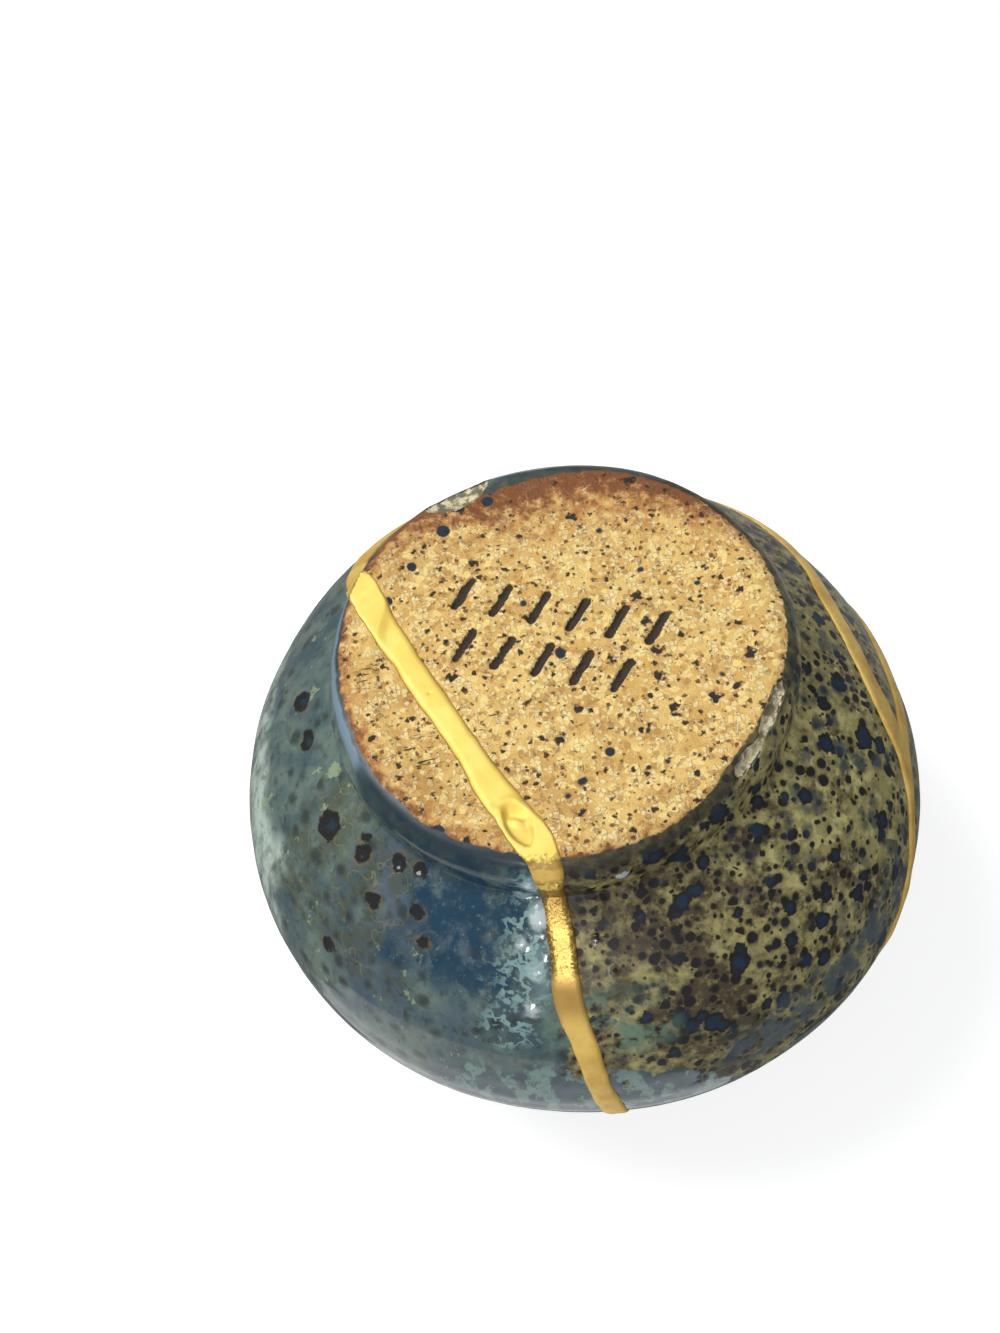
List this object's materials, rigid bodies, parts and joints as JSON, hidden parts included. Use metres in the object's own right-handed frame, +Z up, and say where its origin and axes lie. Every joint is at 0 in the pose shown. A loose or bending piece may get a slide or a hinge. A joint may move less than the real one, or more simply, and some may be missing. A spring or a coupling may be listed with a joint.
{
  "type": "kintsugi vase",
  "caption": "Small round stoneware vase with a foot, wide belly, short neck and flared lip, broken and mended with raised gold seams.",
  "frame": {"origin": "centre of the base, on the plane that the vase stands on", "axes": "+Z up from the base to the mouth, -Y towards the front seam"},
  "size_m": [0.1129, 0.1151, 0.08],
  "materials": {
    "olive_glaze": "glossy speckled olive and navy glaze over bare grogged clay under the foot",
    "slate_glaze": "glossy grey-blue glaze with blue runs, pale rim and dark pits",
    "grey_green_glaze": "glossy pale grey-green glaze",
    "gold": "satin gold powder burnished over lacquer"
  },
  "bodies": {
    "root": {"main_shard": "olive_glaze", "wall_shard": "slate_glaze", "rim_shard": "grey_green_glaze", "gold_seam": "gold"}
  },
  "joints": []
}
